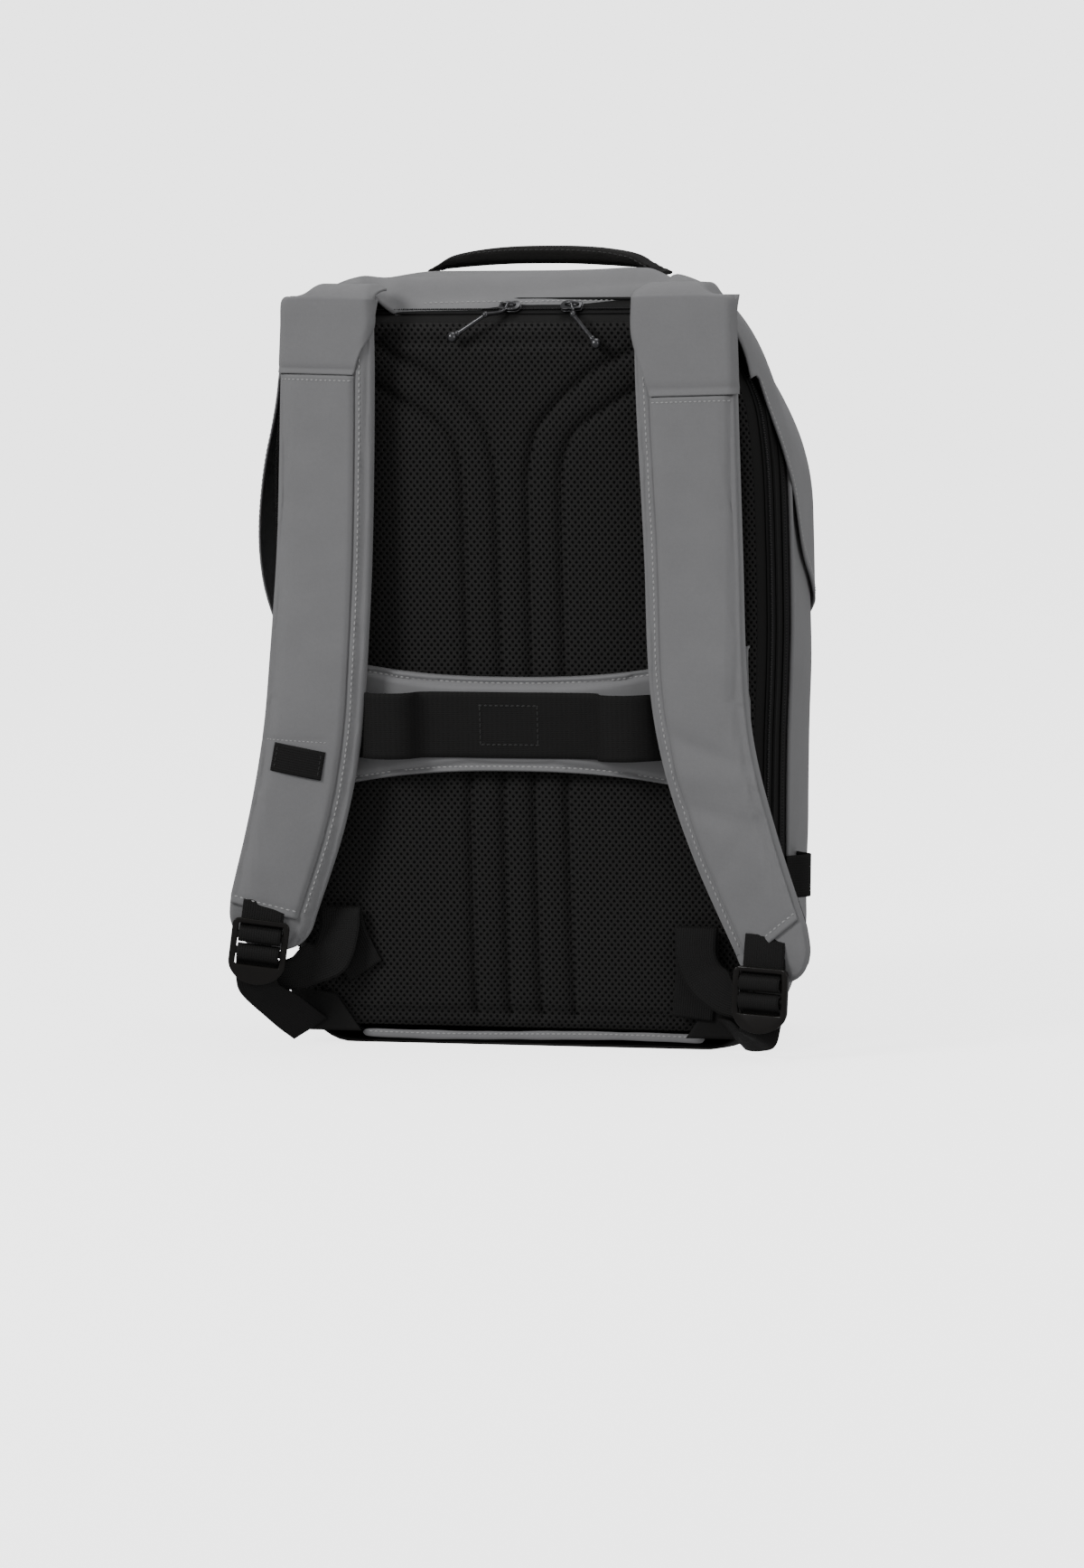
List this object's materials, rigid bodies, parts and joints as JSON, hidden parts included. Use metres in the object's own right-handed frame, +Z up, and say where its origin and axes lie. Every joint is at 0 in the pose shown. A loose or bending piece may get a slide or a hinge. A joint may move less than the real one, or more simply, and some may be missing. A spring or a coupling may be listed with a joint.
{
  "type": "laptop backpack",
  "caption": "Slim soft-sided laptop backpack seen from its padded back, with shoulder straps, lumbar band, luggage strap, top zip, front cover and carry handle.",
  "frame": {"origin": "middle of the base, at half the bag's depth", "axes": "+Z up along the bag's height, -Y towards the wearer's back (the harness side), +X to the right seen from the harness side"},
  "size_m": [0.3671, 0.1912, 0.4681],
  "materials": {
    "grey_fabric": "matt coated polyester weave",
    "black_fabric": "matt black nylon",
    "black_mesh": "perforated air mesh",
    "black_webbing": "ribbed webbing",
    "zip_black": "coil zip on its tape",
    "buckle_plastic": "satin moulded plastic",
    "gunmetal": "dark glossy metal"
  },
  "bodies": {
    "root": {"back_panel": "black_mesh", "bottom_binding": "grey_fabric", "gusset": "black_fabric", "main_zip": "zip_black", "front_zip": "zip_black", "side_piping": "grey_fabric", "front_shell": "grey_fabric", "front_cover": "grey_fabric", "lumbar_band": "grey_fabric", "luggage_strap": "black_webbing", "strap_patch_left": "black_webbing", "side_loop_right": "black_webbing", "top_handle": "black_fabric", "yoke_left": "grey_fabric", "strap_lining_left": "black_mesh", "strap_pad_left": "grey_fabric", "strap_cover_left": "grey_fabric", "buckle_left": "buckle_plastic", "buckle_webbing_left": "black_webbing", "adjuster_webbing_left": "black_webbing", "anchor_tab_left": "black_fabric", "yoke_right": "grey_fabric", "strap_lining_right": "black_mesh", "strap_pad_right": "grey_fabric", "strap_cover_right": "grey_fabric", "buckle_right": "buckle_plastic", "buckle_webbing_right": "black_webbing", "adjuster_webbing_right": "black_webbing", "anchor_tab_right": "black_fabric", "zip_slider_left": "gunmetal", "zip_slider_right": "gunmetal", "zip_pull_left": "gunmetal", "zip_pull_right": "gunmetal"}
  },
  "joints": []
}
